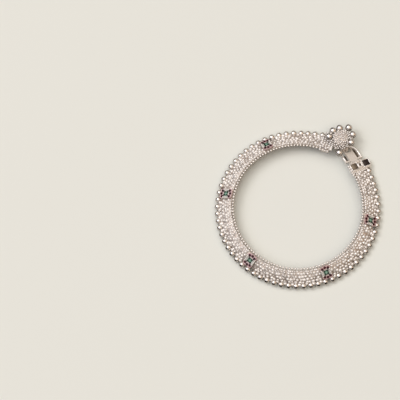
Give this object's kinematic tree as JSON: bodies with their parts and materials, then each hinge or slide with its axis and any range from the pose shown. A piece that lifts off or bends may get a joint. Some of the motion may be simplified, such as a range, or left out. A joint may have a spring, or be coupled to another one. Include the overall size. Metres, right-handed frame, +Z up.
{
  "type": "anklet",
  "caption": "Woven silver anklet, fastened, with a ball edge, stone-set motifs, a hook clasp and a rosette of drop balls; lies flat round an open ankle hollow.",
  "frame": {"origin": "middle of the anklet's box, on the surface that it lies on", "axes": "+Z up off the surface, the clasp and its rosette towards -Y, the band's closed back towards +Y"},
  "size_m": [0.0966, 0.1066, 0.0098],
  "materials": {
    "weave": "oxidised silver weave",
    "silver": "polished silver",
    "green_stone": "polished green stone",
    "red_stone": "polished dark red stone"
  },
  "bodies": {
    "root": {"woven_band": "weave", "end_cap_a": "silver", "end_cap_b": "silver", "clasp_plate": "silver", "hinge_pin": "silver", "rosette": "silver", "edge_ball_row": "silver", "inner_edge_chain": "silver", "drop_ball_1": "silver", "drop_ball_2": "silver", "drop_ball_3": "silver", "drop_ball_4": "silver", "drop_ball_5": "silver", "drop_ball_6": "silver", "drop_ball_7": "silver", "motif_plate_1": "silver", "motif_plate_2": "silver", "motif_plate_3": "silver", "motif_plate_4": "silver", "motif_plate_5": "silver", "motif_green_1": "green_stone", "motif_green_2": "green_stone", "motif_green_3": "green_stone", "motif_green_4": "green_stone", "motif_green_5": "green_stone", "motif_red_1_1": "red_stone", "motif_red_1_2": "red_stone", "motif_red_1_3": "red_stone", "motif_red_1_4": "red_stone", "motif_red_1_5": "red_stone", "motif_red_1_6": "red_stone", "motif_red_2_1": "red_stone", "motif_red_2_2": "red_stone", "motif_red_2_3": "red_stone", "motif_red_2_4": "red_stone", "motif_red_2_5": "red_stone", "motif_red_2_6": "red_stone", "motif_red_3_1": "red_stone", "motif_red_3_2": "red_stone", "motif_red_3_3": "red_stone", "motif_red_3_4": "red_stone", "motif_red_3_5": "red_stone", "motif_red_3_6": "red_stone", "motif_red_4_1": "red_stone", "motif_red_4_2": "red_stone", "motif_red_4_3": "red_stone", "motif_red_4_4": "red_stone", "motif_red_4_5": "red_stone", "motif_red_4_6": "red_stone", "motif_red_5_1": "red_stone", "motif_red_5_2": "red_stone", "motif_red_5_3": "red_stone", "motif_red_5_4": "red_stone", "motif_red_5_5": "red_stone", "motif_red_5_6": "red_stone"}
  },
  "joints": []
}
